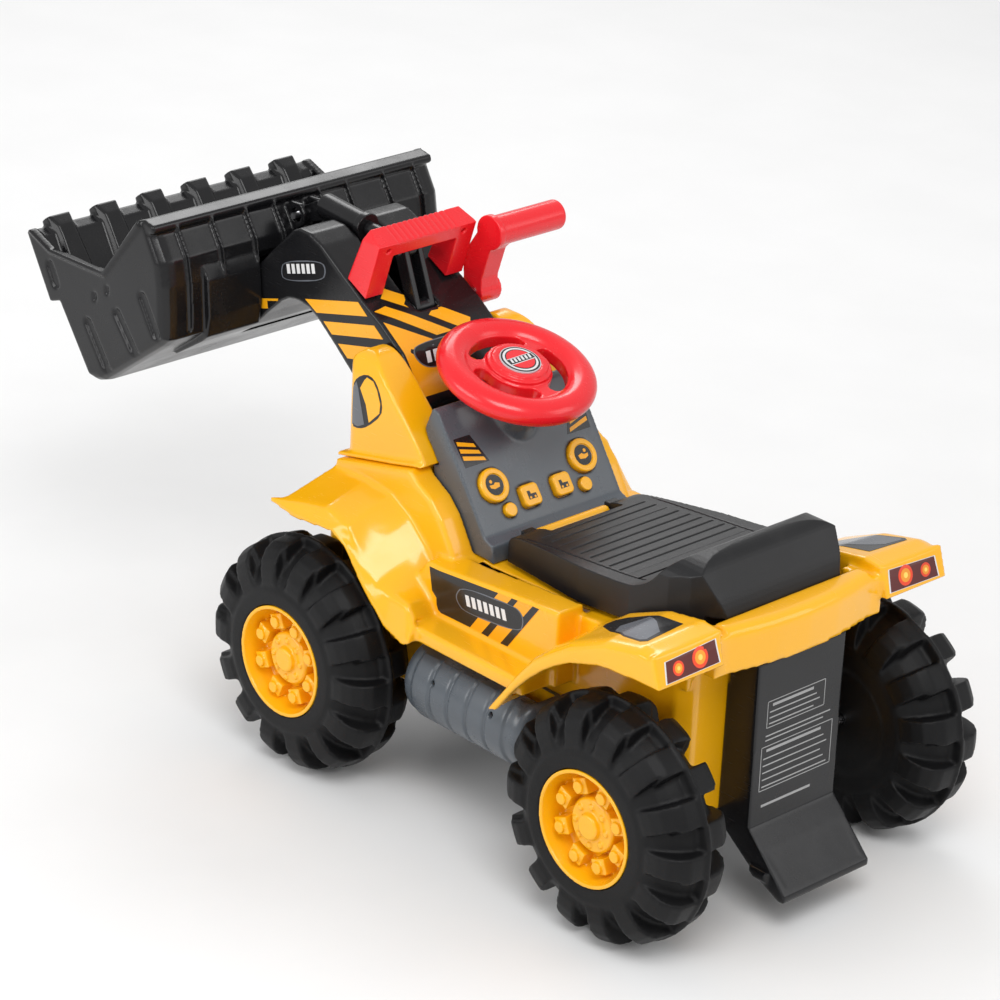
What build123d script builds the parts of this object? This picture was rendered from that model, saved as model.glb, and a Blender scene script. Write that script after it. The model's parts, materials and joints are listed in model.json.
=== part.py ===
from build123d import *
import os
from math import sin, cos, tan, radians, pi, atan2, degrees, hypot

os.makedirs("parts", exist_ok=True)

# ---------------------------------------------------------------------------
# Ride-on front loader for a toddler.  Millimetres, +Z up, +X forward, +Y left.
# Shapes are laid out from the rear axle (x = 0) and moved by XS when written,
# so that the origin is on the floor under the middle of the whole toy.
# ---------------------------------------------------------------------------
XS = -327.75           # layout -> part frame

# wheels
WHEEL_R = 105.0        # over the middle ridge
LUG_R = 103.2          # over the tread blocks
CARCASS_R = 93.5
WHEEL_Y = 150.0        # middle of each wheel
WHEEL_HALF = 36.0      # half width of the wheel
WHEELBASE = 371.0
RIM_R = 50.0
AXLE_Z = WHEEL_R
AXLE_R = 4.0
RUN = 0.06             # radial running clearance on shafts
HUB_TUBE_R = 11.0
LUGS = 14

# body
TUB_Y = 98.0
WALL = 3.0
DECK_Z = 222.0
PANEL_Y = 121.0
LEDGE_Y = 150.0
FENDER_Y = 168.0

# arm
ARM_Y = 57.0
LIFT = (365.0, 300.0)       # arm pivot (x, z)
LIFT_R = 5.0
TIP = (594.0, 338.0)        # bucket pivot (x, z)
TIP_R = 4.0
CRANK = (411.0, 373.0)      # crank shaft (x, z)
CRANK_R = 4.0
LEVER_PIN = (430.0, 420.0)  # pin between the inner lever and the tie rod
LUG_PIN = (564.0, 414.0)    # pin between the tie rod and the bucket
PIN_R = 3.0
LUG_EYE_R = 6.2             # oversize eye in the bucket lug

# bucket
BUCKET_Y = 162.0

# steering
STEER_C = (289.5, 352.6)
STEER_TILT = 16.5
STEER_R = 69.7
STEER_TUBE = 13.5

# dashboard face: x = DX0 + DXZ * z
DX0, DXZ = 52.62, 0.761

# seat hinge
SEAT_HINGE = (214.0, 240.0)

parts = {}


def prism(pts, y0, y1, r=None):
    """Solid with outline pts (x, z) between y0 and y1."""
    if r is None:
        line = Polyline(*pts, close=True)
    else:
        line = FilletPolyline(*pts, radius=r, close=True)
    f = Plane.XZ.offset(-y1) * make_face(line)
    return extrude(f, amount=(y1 - y0))


def plan(pts, z0, z1, r=None):
    """Solid with outline pts (x, y) between z0 and z1."""
    line = Polyline(*pts, close=True) if r is None else FilletPolyline(*pts, radius=r, close=True)
    return extrude(Plane.XY.offset(z0) * make_face(line), amount=z1 - z0)


def cross(pts, x0, x1, r=None):
    """Solid with outline pts (y, z) between x0 and x1."""
    line = Polyline(*pts, close=True) if r is None else FilletPolyline(*pts, radius=r, close=True)
    return extrude(Plane.YZ.offset(x0) * make_face(line), amount=x1 - x0)


def Polyline_face(pts):
    return make_face(Polyline(*pts, close=True))


def ycyl(x, z, r, y0, y1):
    return Pos(x, (y0 + y1) / 2, z) * Rot(90, 0, 0) * Cylinder(r, y1 - y0)


def xcyl(y, z, r, x0, x1):
    return Pos((x0 + x1) / 2, y, z) * Rot(0, 90, 0) * Cylinder(r, x1 - x0)


def box(x0, x1, y0, y1, z0, z1):
    return Pos((x0 + x1) / 2, (y0 + y1) / 2, (z0 + z1) / 2) * Box(x1 - x0, y1 - y0, z1 - z0)


def both(s):
    return s + mirror(s, about=Plane.XZ)


def rodxz(p, q, r, y=0.0):
    """Round rod from (x, z) p to q at depth y."""
    a, b = Vector(p[0], y, p[1]), Vector(q[0], y, q[1])
    d = b - a
    return extrude(Plane(origin=a, z_dir=d) * Circle(r), amount=d.length)


def save(name, shape):
    parts[name] = shape


def soften(shape, edges, r):
    """Round the edges, or bevel them where a round does not fit."""
    try:
        return fillet(edges, r)
    except Exception:
        try:
            return chamfer(edges, r * 0.6)
        except Exception:
            return shape


def skin(sections):
    """Faceted solid through closed outlines (x, z), each at its own y."""
    rows = [[Vector(x, y, z) for x, z in pts] for y, pts in sections]
    n = len(rows[0])
    faces = []
    for a, b in zip(rows, rows[1:]):
        for i in range(n):
            k = (i + 1) % n
            faces.append(Face(Wire.make_polygon([a[i], a[k], b[k]])))
            faces.append(Face(Wire.make_polygon([a[i], b[k], b[i]])))
    faces.append(Face(Wire.make_polygon(rows[0])))
    faces.append(Face(Wire.make_polygon(rows[-1])))
    s = Solid(Shell(faces))
    return Part() + (s if s.volume > 0 else Solid(Shell([-f for f in faces])))


def sweep(sections):
    """Ruled loft through closed outlines (x, z), each at its own y."""
    return loft([Plane.XZ.offset(-y) * make_face(Polyline(*pts, close=True)) for y, pts in sections], ruled=True)


def rounded(pts, n=2, f=0.25):
    """Open outline with its corners cut n times, ends kept."""
    for _ in range(n):
        q = [pts[0]]
        for k in range(len(pts) - 1):
            a, b = pts[k], pts[k + 1]
            if k > 0:
                q.append((a[0] + (b[0] - a[0]) * f, a[1] + (b[1] - a[1]) * f))
            if k < len(pts) - 2:
                q.append((b[0] + (a[0] - b[0]) * f, b[1] + (a[1] - b[1]) * f))
        q.append(pts[-1])
        pts = q
    return [(round(x, 3), round(z, 3)) for x, z in pts]


def inset(pts, d):
    """Outline (x, z) moved inwards by d, or outwards when d is negative."""
    area = sum(a[0] * b[1] - b[0] * a[1] for a, b in zip(pts, pts[1:] + pts[:1]))
    s = d if area > 0 else -d
    out = []
    for k in range(len(pts)):
        p, q, r = pts[k - 1], pts[k], pts[(k + 1) % len(pts)]
        l1, l2 = hypot(q[0] - p[0], q[1] - p[1]), hypot(r[0] - q[0], r[1] - q[1])
        n1 = (-(q[1] - p[1]) / l1, (q[0] - p[0]) / l1)
        n2 = (-(r[1] - q[1]) / l2, (r[0] - q[0]) / l2)
        m = (n1[0] + n2[0], n1[1] + n2[1])
        c = (1 + n1[0] * n2[0] + n1[1] * n2[1])
        out.append((q[0] + s * m[0] / c, q[1] + s * m[1] / c))
    return out


# ---------------------------------------------------------------------------
# wheels: black blow-moulded tyre with its own hub tube, yellow hub cap
# wheel frame: axis Y through the origin, outboard side +Y
# ---------------------------------------------------------------------------
def revolve_y(pts):
    """Solid of revolution about Y from (radius, y) points."""
    f = make_face(Polyline(*pts, close=True))
    return revolve(f, Axis.Y, 360)


def tyre():
    h = WHEEL_HALF
    outer = revolve_y([
        (HUB_TUBE_R, -h + 2), (44, -h + 2), (50, -h), (62, -h), (67, -h + 1.6), (75, -h + 6.5), (83, -h + 13), (89.5, -h + 21),
        (CARCASS_R, -7), (CARCASS_R + 1, -2.5), (WHEEL_R, -1.6), (WHEEL_R, 1.6), (CARCASS_R + 1, 2.5),
        (CARCASS_R, 7), (89.5, h - 21), (83, h - 13), (75, h - 6.5), (67, h - 1.6), (62, h), (RIM_R, h), (RIM_R, 6),
        (HUB_TUBE_R, 6)])
    cavity = revolve_y([
        (HUB_TUBE_R + 6, -h + 5), (50, -h + 3), (61, -h + 3), (73, -h + 9.5), (80.5, -h + 16), (86.5, -h + 24), (89, -5), (89, 5),
        (86.5, h - 24), (80.5, h - 16), (73, h - 9.5), (61, h - 3), (RIM_R + 3, h - 3), (RIM_R + 3, 3), (HUB_TUBE_R + 6, 3)])
    tube = revolve_y([(AXLE_R + RUN, -h + 2), (HUB_TUBE_R, -h + 2), (HUB_TUBE_R, 6), (AXLE_R + RUN, 6)])
    env = revolve_y([(84, 2.2), (LUG_R, 2.2), (LUG_R - 0.4, 10), (102.0, 18), (97.5, 26), (90, 32), (80, 34.8), (70, 35.4), (64, 34), (70, 28), (80, 16)])
    half = None
    for i in range(LUGS):
        a = 360.0 / LUGS * i
        b = Rot(0, a, 0) * (Pos(96, 10, 0) * Box(26, 26, 23) + Pos(85, 24, -1.5) * Rot(0, 0, 0) * Box(44, 26, 20))
        half = b if half is None else half + b
    lug = half & env
    other = mirror(Rot(0, 180.0 / LUGS, 0) * lug, about=Plane.XZ)
    return outer + tube + lug + other - cavity


def hubcap():
    h = WHEEL_HALF
    dish = revolve_y([
        (0, 13), (42, 13), (46, 22), (RIM_R - 0.4, 34.4), (RIM_R - 0.4, h + 0.5), (RIM_R - 3.4, h + 0.5),
        (43.2, 23), (40.5, 15.5), (24.5, 15.5), (23.5, 24.5), (21.5, 26.5), (11.5, 26.5), (10.5, 31),
        (9.0, 31.8), (0, 31.8)])
    pocket = revolve_y([(0, 12.9), (8, 12.9), (8, 28.5), (0, 28.5)])
    blocks = None
    for i in range(8):
        a = 45.0 * i + 22.5
        b = Rot(0, a, 0) * (Pos(33.5, 21.5, 0) * Box(13.5, 14, 14.5) + Pos(33.5, 29.5, 0) * Rot(90, 0, 0) * Cylinder(5.0, 5))
        b = b + Rot(0, a + 22.5, 0) * (Pos(17, 27, 0) * Rot(90, 0, 0) * Cylinder(2.6, 3.2))
        blocks = b if blocks is None else blocks + b
    return dish + blocks - pocket


TYRE = tyre()
CAP = hubcap()
for tag, x, s in (("rear_left", 0, 1), ("rear_right", 0, -1), ("front_left", WHEELBASE, 1), ("front_right", WHEELBASE, -1)):
    t, c = TYRE, CAP
    if s < 0:
        t, c = mirror(t, about=Plane.XZ), mirror(c, about=Plane.XZ)
    save("tyre_" + tag, Pos(x, s * WHEEL_Y, AXLE_Z) * t)
    save("hubcap_" + tag, Pos(x, s * WHEEL_Y, AXLE_Z) * c)

AXLE_END = WHEEL_Y + 12.0
for tag, x in (("rear", 0), ("front", WHEELBASE)):
    save("axle_" + tag, ycyl(x, AXLE_Z, AXLE_R, -AXLE_END, AXLE_END))
caps = None
for x in (0, WHEELBASE):
    for s in (1, -1):
        y = s * (WHEEL_Y + 6.6)
        c = Pos(x, y + s * 1.2, AXLE_Z) * Rot(90, 0, 0) * (Cylinder(7.2, 2.4) - Cylinder(AXLE_R, 3))
        caps = c if caps is None else caps + c
save("axle_push_nuts", caps)

# ---------------------------------------------------------------------------
# underbody: black base that closes the yellow tub and carries both axles
# ---------------------------------------------------------------------------
ub = box(-14, 392, -94.5, 94.5, 80, 83.5)
for x in (0, WHEELBASE):
    for s in (1, -1):
        ub += box(x - 13, x + 13, min(s * 72, s * 94.5), max(s * 72, s * 94.5), 83, 119)
for s in (1, -1):
    ub += box(20, 350, min(s * 60, s * 63), max(s * 60, s * 63), 83, 96)
ub += box(20, 23, -63, 63, 83, 96) + box(347, 350, -63, 63, 83, 96)
for x in (0, WHEELBASE):
    ub -= ycyl(x, AXLE_Z, AXLE_R, -100, 100)
ub &= plan([(-14, -82.5), (-14, 82.5), (-3.5, 94.5), (392, 94.5), (392, -94.5), (-3.5, -94.5)], 70, 130)
save("underbody", ub)

# ---------------------------------------------------------------------------
# rear stopper: black anti-tip panel with a kicked-out foot
# ---------------------------------------------------------------------------
st_out = [(-52, 227.5), (-54, 82), (-97.5, 37.5), (-97, 32), (-92, 31), (-66, 43), (-21.5, 76), (-21.5, 227.5)]
st_in = [(-49, 240), (-51, 83.2), (-93, 40.5), (-90, 34.5), (-66, 47), (-15, 82), (-15, 240)]
stopper = prism(st_out, -51, 51) - prism(st_in, -47.5, 47.5)
stopper += box(-24.5, -19.4, -51, -38, 84, 200) + box(-24.5, -19.4, 38, 51, 84, 200)
for s in (1, -1):
    stopper += box(-78, -60, min(s * 49, s * 54), max(s * 49, s * 54), 44, 52) & prism(st_out, -60, 60)
save("rear_stopper", stopper)

# ---------------------------------------------------------------------------
# body shell: yellow tub with running boards, rear fenders, bumper, front fenders
# ---------------------------------------------------------------------------
tub_side = [(-19, 84), (-19, 236), (50, 232), (118, 224), (225, 220), (245, 221), (262, 248), (279, 262), (306, 262), (396, 262),
            (404, 250), (412, 205), (408, 120), (396, 84)]
tub_plan = [(-19, -86), (-19, 86), (-7, TUB_Y), (430, TUB_Y), (430, -TUB_Y), (-7, -TUB_Y)]
tub = prism(tub_side, -TUB_Y, TUB_Y) & plan(tub_plan, 60, 300)
tub_void = [(-16, 70), (-16, 232.5), (50, 228.5), (118, 220.5), (225, 216.5), (247, 217.5), (264, 245), (280, 258.5), (394, 258.5),
            (401, 248), (408.5, 205), (404.5, 120), (393, 70)]
# cowl under the tower and beside the dashboard
cowl_pts = [(244, 200), (248, 226), (264, 252), (279, 267), (296, 276), (306, 284), (330, 278), (398, 262.6), (402, 240), (402, 200)]
cowl = prism(cowl_pts, 81.0, 104) + prism([(306, 240), (306, 284), (330, 278), (398, 262.6), (402, 240)], 60.5, 82)
cowl_void = prism([(247.5, 190), (251.5, 225), (267, 249.5), (281, 264), (297.5, 272.5), (306, 280), (330, 274.5), (395.5, 259), (398.5, 240), (398.5, 190)], 84.5, 100.5)
# side panel above the running board and the running board itself
panel = prism([(104, 166), (104, 234), (160, 230), (245, 222), (262, 222), (272, 206), (262, 166)], 90, PANEL_Y)
ledge = prism([(112, 165), (112, 178), (262, 178), (262, 165)], 90, LEDGE_Y)
panel_void = prism([(107, 160), (107, 230.5), (160, 226.5), (245, 218.5), (259, 218.5), (268, 205), (259, 160)], 80, PANEL_Y - 3)
ledge_void = box(115, 259, 80, LEDGE_Y - 3, 160, 175)
side = soften(panel, panel.edges().filter_by(Axis.X).group_by(Axis.Y)[-1], 2) + ledge
# rear fender: mudguard over the rear wheel, ending in the tail-light block
rf_o = [(-46, 265), (-30, 266), (6, 258), (45, 240), (66, 226), (85, 212), (103, 191), (118, 171), (134, 150)]
rf_b = [(-55, 243), (-30, 242), (10, 239), (44, 228), (60, 219), (74, 209), (90, 195), (106, 178), (124, 154)]
rf_c = [(-47, 268), (-28, 270), (8, 262), (48, 244), (69, 230), (88, 215), (105, 194), (120, 173), (135, 152)]
rf_i = [(-47, 270), (-28, 272), (8, 266), (50, 248), (72, 233), (90, 218), (106, 197), (119, 178), (133, 160)]


def down(pts, d):
    return [(x - d * 0.35, z - d) for x, z in pts]


rf = skin([(92, rf_i + down(rf_i, 4.5)[::-1]), (158, rf_c + down(rf_c, 4.5)[::-1]), (163, [(x, z - 1.5) for x, z in rf_c] + rf_b[::-1]),
           (FENDER_Y, rf_o + rf_b[::-1])])
rf += prism([(-55, 243), (-46.5, 269), (-42.5, 269), (-51, 243)], 97, FENDER_Y)
rf += prism([(-55, 243), (-47, 270), (-28, 272), (8, 266), (50, 248), (90, 218), (104, 200), (104, 185), (60, 215), (-19, 236), (-48, 243)], 95, 98)
rf_join = prism([(-19, 215), (-19, 262), (8, 262), (50, 244), (90, 214), (100, 200), (100, 190)], 90, 97)
# deck at the sides and behind the seat, up to the fender tops
deck = prism([(-44, 232), (-44, 266), (-28, 268), (8, 260), (50, 242), (90, 222), (104, 215), (104, 205), (-19, 205), (-19, 232)], 92, 97)
bump_plan = [(-47, -84), (-51.5, -60), (-55.5, -35), (-57.5, 0), (-55.5, 35), (-51.5, 60), (-47, 84), (-10, 84), (-10, -84)]
bumper = plan(bump_plan, 228, 267)
bumper = soften(bumper, bumper.faces().sort_by(Axis.Z)[-1].edges().sort_by(Axis.X)[0:6], 9)
bumper -= plan([(-43, -81), (-48, -59), (-52, -34), (-54, 0), (-52, 34), (-48, 59), (-43, 81), (-30, 81), (-30, -81)], 220, 263) & box(-60, -13, -81, 81, 220, 258)
bumper -= box(-26, 0, -90, 90, 241, 300)
bumper_side = box(-47, -13, 81, 97, 228, 262)
# front fender: lofted from the cowl out to a turned-down rim
ff_i = [(252, 170), (260, 184), (269, 213), (280, 232), (300, 250), (326, 259), (359, 260), (398, 260)]
ff_m = [(242, 184), (251, 195), (272, 197), (288, 201), (307, 217), (326, 240), (355, 246.5), (408, 237)]
ff_c = [(240, 180), (250, 193), (272, 194.5), (288, 198), (307, 214), (326, 238.5), (355, 244.5), (411, 235)]
ff_o = [(240, 168), (249, 164), (270, 171), (298, 196), (322, 225), (342, 233), (389, 229), (420, 234)]
ff_b = [(240, 164), (249, 160), (272, 168), (300, 193), (324, 222), (342, 230), (389, 225), (421, 230)]


def under(pts):
    return [(x + 2.6, z - 3.6) for x, z in pts]


ff = sweep([(92, ff_i + under(ff_i)[::-1]), (148, ff_m + under(ff_m)[::-1]), (152, ff_c + [(x, z + 1) for x, z in ff_b][::-1]),
           (158, ff_o + ff_b[::-1])])
half_body = side + rf + rf_join + deck + ff + cowl + bumper_side
half_void = panel_void + ledge_void + cowl_void
body = tub + both(half_body) + bumper
body -= prism(tub_void, -TUB_Y + WALL, TUB_Y - WALL) & plan([(-16, -84.7), (-16, 84.7), (-5.8, TUB_Y - WALL), (430, TUB_Y - WALL), (430, WALL - TUB_Y), (-5.8, WALL - TUB_Y)], 60, 300)
body -= both(half_void)
# keep the tub wall closed where the side voids meet it
wall = (prism(tub_side, TUB_Y - WALL, TUB_Y) & plan(tub_plan, 60, 300)) - box(110, 258, 90, 100, 172, 216)
body += both(wall)
# room for the arm and the dashboard
body -= box(300, 396, -60.4, 60.4, 255, 290)
body -= prism([(222, 219.8), (262, 221.6), (300, 262), (300, 300), (222, 300)], -80.6, 80.6)
# seat recess: everything above the deck inside the seat outline
seat_room = prism([(-31, 264.4), (-22, 300), (222, 300), (222, 219.5), (118, 223.7), (50, 231.7), (-14.0, 236.3), (-14.5, 262.6), (-29, 262.9)], -91.3, 91.3)
body -= seat_room
body += box(-16.5, -13.5, -60, 60, 232, 236)
# storage well under the seat: four walls and a floor hanging from the deck
well = box(22, 186, -62, 62, 120, 221) - box(25, 183, -59, 59, 123, 260)
body += well
body -= box(25, 183, -59, 59, 123, 260)
# opening under the dashboard for the console and its battery box
body -= box(232, 296, -70, 70, 200, 270)
# axle clearance
for x in (0, WHEELBASE):
    body -= ycyl(x, AXLE_Z, 5.5, -110, 110)
# hinge lug for the seat
body += box(198, 222, -41, 41, 216, 234)
body += ycyl(SEAT_HINGE[0], SEAT_HINGE[1], 6.0, -41, 41) + box(208, 220, -41, 41, 230, 240)
body -= ycyl(SEAT_HINGE[0], SEAT_HINGE[1], 2.5, -50, 50)
# slot in the nose for the lowered arm
body -= prism([(360, 300), (372, 235), (414, 190), (430, 190), (430, 300)], -60.5, 60.5)
save("body_shell", body)

# ---------------------------------------------------------------------------
# front tower: yellow shoulders either side of the arm
# ---------------------------------------------------------------------------
sh_out = [(297, 286.4), (306, 300), (336, 328), (368, 357), (384, 362.5), (396, 357), (401, 345), (401, 262.6), (330, 278.4), (306, 284.4)]
sh_round = [(297, 286.4)] + rounded([(300, 291), (306, 300), (336, 331), (366, 357), (384, 362.5), (396, 358), (401, 342), (401, 300)], 2)[1:] + [(401, 262.6), (330, 278.4), (306, 284.4)]
sh_in = [(303, 280), (309, 299), (339, 325), (369, 350), (382, 356), (391, 351), (397, 340), (397.5, 255), (330, 270), (306, 275)]
shoulder = prism(sh_round, 59.5, 94)
shoulder &= plan([(280, 50), (280, 94), (401, 94), (401, 50)], 255, 370, r=15)
shoulder &= cross([(50, 250), (94, 250)] + rounded([(94, 300), (94, 338), (88, 357), (74, 362.6), (50, 362.6)], 3), 280, 410)
core = prism(sh_in, 62.5, 91) & plan([(284, 62.5), (284, 91), (397.8, 91), (397.8, 62.5)], 250, 370, r=12)
shoulder -= core & cross([(50, 240), (91, 240), (91, 336), (84.5, 351), (73, 358), (50, 358)], 280, 410)
shoulder += ycyl(LIFT[0], LIFT[1], 11, 59.5, 91.5)
shoulder -= prism([(290, 200), (297, 286.4), (306, 284.4), (330, 278.4), (401, 262.6), (410, 200)], 50, 110)
tower = both(shoulder)
tower += prism([(317, 262.6), (317, 290), (322, 306), (326, 304), (322, 288), (322, 262.6)], -60, 60)
flange = prism([(297, 286.9), (306, 288.2), (330, 282.2), (404, 265.9), (404, 262.1), (330, 278.4), (306, 284.4), (297, 286.0)], 60, 98)
tower += both(flange - prism([(290, 284.4), (306, 284.4), (290, 288)], 50, 110))
tower -= ycyl(LIFT[0], LIFT[1], LIFT_R, -90, 90)
save("front_tower", tower)
save("arm_pivot_pin", ycyl(LIFT[0], LIFT[1], LIFT_R - 0.02, -88, 88))

# ---------------------------------------------------------------------------
# dashboard console
# ---------------------------------------------------------------------------
dash_out = [(224, 221.0), (262, 222.6), (298.5, 264), (304.5, 291), (314, 314), (306, 334), (299, 332),
            (236.3, 240), (226, 236)]
dash = prism(dash_out, -80, 80)
dash_void = [(229, 215), (262, 215), (294, 266), (301.5, 292), (310, 314), (304.5, 329), (300.5, 327), (240, 239), (229, 234)]
dash -= prism(dash_void, -77, 77)
up = Vector(-sin(radians(STEER_TILT)), 0, cos(radians(STEER_TILT)))
sc = Vector(STEER_C[0], 0, STEER_C[1])
steer_plane = Plane(origin=sc, x_dir=(cos(radians(STEER_TILT)), 0, sin(radians(STEER_TILT))), z_dir=up)
col_top = Plane(origin=sc - up * 17, x_dir=steer_plane.x_dir, z_dir=up)
col_bot = Plane(origin=sc - up * 62, x_dir=steer_plane.x_dir, z_dir=up)
col = steer_plane * revolve(make_face(Polyline((0, 0, -17), (27.5, 0, -17), (28.5, 0, -42), (31, 0, -50), (36, 0, -57), (43, 0, -63), (52, 0, -68), (52, 0, -82), (0, 0, -82), close=True)), Axis.Z, 360)
col_in = steer_plane * revolve(make_face(Polyline((0, 0, -20), (24.5, 0, -20), (25.5, 0, -43), (27.5, 0, -52), (32.5, 0, -60), (40, 0, -67), (48, 0, -72.5), (48, 0, -95), (0, 0, -95), close=True)), Axis.Z, 360)
dash += (col - prism([(DX0 + DXZ * 200 + 2.5, 200), (DX0 + DXZ * 333 + 2.5, 333), (420, 333), (420, 200)], -70, 70))
dash -= (col_in - prism([(DX0 + DXZ * 200 + 40, 200), (DX0 + DXZ * 330 + 40, 330), (400, 330), (400, 200)], -70, 70)) & prism(
    [(DX0 + DXZ * 200 - 90, 200), (DX0 + DXZ * 380 - 90, 380), (DX0 + DXZ * 380 + 8, 380), (DX0 + DXZ * 200 + 8, 200)], -70, 70)

dn = Vector(-1, 0, DXZ).normalized()               # outward normal of the dash face
dt = Vector(DXZ, 0, 1).normalized()                # up the slope


def dash_pt(x, z, y, off=0.0):
    return Vector(x, y, z) + dn * off


BUTTONS = {
    "button_round_left": ((261.4, 271.9), 51.5, "round"),
    "button_round_right": ((261.4, 271.9), -51.5, "round"),
    "button_square_left": ((246.7, 257.9), 18.5, "square"),
    "button_square_right": ((246.7, 257.9), -18.5, "square"),
    "button_small_left": ((243.4, 252.8), 43.8, "small"),
    "button_small_right": ((243.4, 252.8), -43.8, "small"),
}
BTN_TRAVEL = 1.5


def on_face(z, y):
    """Point of the dash face nearest the given height on the face plane."""
    return Vector(DX0 + DXZ * z, y, z)


def btn_shape(kind, plane, clear=0.0, h0=-6.0, h1=5.0):
    if kind == "round":
        s = Circle(15.0 + clear)
    elif kind == "square":
        s = RectangleRounded(19.5 + 2 * clear, 19.5 + 2 * clear, 4.5)
    else:
        s = Circle(6.2 + clear)
    return extrude(Plane(origin=plane.origin + plane.z_dir * h0, x_dir=plane.x_dir, z_dir=plane.z_dir) * s, amount=h1 - h0)


for name, ((x, z), y, kind) in BUTTONS.items():
    h = {"round": 5.0, "square": 5.0, "small": 3.6}[kind]
    pl = Plane(origin=on_face(z, y), x_dir=(0, 1, 0), z_dir=dn)
    dash -= btn_shape(kind, pl, clear=0.45, h0=-12, h1=14)
    cap = btn_shape(kind, pl, h0=-2.2, h1=h)
    top = cap.faces().sort_by(lambda f: f.center().dot(dn))[-1]
    cap = fillet(top.edges(), 1.8 if kind != "small" else 1.2)
    r = {"round": 16.8, "square": 0, "small": 8.0}[kind]
    base = Plane(origin=on_face(z, y) + dn * -5.7, x_dir=(0, 1, 0), z_dir=dn)
    fl = Circle(r) if r else RectangleRounded(23.0, 23.0, 5)
    cap += extrude(base * fl, amount=1.5) + extrude(base * (Circle(4.0)), amount=4.0)
    if kind == "round":
        cap -= extrude(Plane(origin=on_face(z, y) + dn * (h - 1.3), x_dir=(0, 1, 0), z_dir=dn) * Circle(9.8), amount=5)
    save(name, cap)
# steering shaft bore through the top of the column
dash += extrude(Plane(origin=sc - up * 50, x_dir=steer_plane.x_dir, z_dir=up) * Circle(9), amount=33) - extrude(
    Plane(origin=sc - up * 51, x_dir=steer_plane.x_dir, z_dir=up) * Circle(6.0), amount=40)
dash -= extrude(Plane(origin=sc - up * 60, x_dir=steer_plane.x_dir, z_dir=up) * Circle(5.0 + RUN), amount=60)
dash -= extrude(Plane(origin=sc - up * 75, x_dir=steer_plane.x_dir, z_dir=up) * Circle(8.8), amount=24.6)
# corner where the dashboard meets the tower
dash -= prism([(314, 255), (314, 340), (340, 340), (340, 255)], -90, 90)
dash -= prism(inset(sh_out, -0.6), 58.5, 90) + prism(inset(sh_out, -0.6), -90, -58.5)
dash -= prism([(296, 285.4), (306, 283.8), (310, 289), (296, 289)], -90, 90)
save("dashboard", dash)

# keypad, circuit board, speaker, battery box and door
kp = Plane(origin=on_face(262, 0) + dn * -9.3, x_dir=(0, 1, 0), z_dir=dn)
keypad = None
for name, ((x, z), y, kind) in BUTTONS.items():
    d = extrude(Plane(origin=on_face(z, y) + dn * -9.2, x_dir=(0, 1, 0), z_dir=dn) * Circle(3.4), amount=1.6)
    keypad = d if keypad is None else keypad + d
kb = extrude(Plane(origin=on_face(262, 0) + dn * -10.4, x_dir=(0, 1, 0), z_dir=dn) * Rectangle(124, 34), amount=1.3)
save("keypad", keypad + kb)
save("circuit_board", extrude(Plane(origin=on_face(262, 0) + dn * -12.2, x_dir=(0, 1, 0), z_dir=dn) * Rectangle(128, 38), amount=1.6))
bb = box(243, 291, -52, 52, 168, 202) - box(246, 288, -49, 49, 166, 199)
bb += box(240, 294, -55, 55, 200, 202.5)
save("battery_box", bb)
save("battery_door", box(246.2, 287.8, -48.8, 48.8, 168, 170.5))
bat = None
for i, y in enumerate((-30.5, -15.5, 0)):
    b = Pos(267, y, 184) * Rot(0, 90, 0) * Cylinder(7.1, 40)
    bat = b if bat is None else bat + b
save("batteries", bat)
save("speaker", Pos(267, 30, 206) * (Cylinder(18, 4) + Pos(0, 0, 5) * Cylinder(10, 6.5)))

# ---------------------------------------------------------------------------
# steering wheel, badge and shaft
# ---------------------------------------------------------------------------
ring = revolve(Plane.XZ * (Pos(STEER_R - STEER_TUBE, 0) * Ellipse(STEER_TUBE, 11.2)), Axis.Z, 360)
hub = Pos(0, 0, -0.5) * Cylinder(47, 12) + Pos(0, 0, 4) * Cylinder(28, 11) + Pos(0, 0, 7) * Cylinder(24.5, 10)
bean = []
for k in range(-40, 41, 8):
    bean.append((43.2 * cos(radians(k)), 43.2 * sin(radians(k))))
for k in range(30, 151, 30):
    t = radians(40 + k)
    bean.append((36.6 * cos(radians(40)) + 6.6 * cos(t), 36.6 * sin(radians(40)) + 6.6 * sin(t)))
for k in range(40, -41, -8):
    bean.append((30.0 * cos(radians(k)), 30.0 * sin(radians(k))))
for k in range(210, 331, 30):
    t = radians(k - 40)
    bean.append((36.6 * cos(radians(40)) + 6.6 * cos(t), -36.6 * sin(radians(40)) + 6.6 * sin(t)))
wheel = ring + hub
for a in (0, 120, 240):
    wheel -= Rot(0, 0, a) * Pos(0, 0, -20) * extrude(make_face(Polyline(*bean, close=True)), amount=50)
wheel -= Pos(0, 0, 12) * Cylinder(18.2, 2.4)
wheel -= Pos(0, 0, -6) * Cylinder(5.0, 12)
save("steering_wheel", steer_plane * wheel)
save("steering_badge", steer_plane * (Pos(0, 0, 11.9) * Cylinder(18, 2)))
save("steering_shaft", steer_plane * (Pos(0, 0, -29) * Cylinder(5.0, 58) + Pos(0, 0, -54.5) * Cylinder(8, 4)))

# ---------------------------------------------------------------------------
# side tanks
# ---------------------------------------------------------------------------
TANK_Y, TANK_Z, TANK_R = 113.0, 119.0, 37.0


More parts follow.
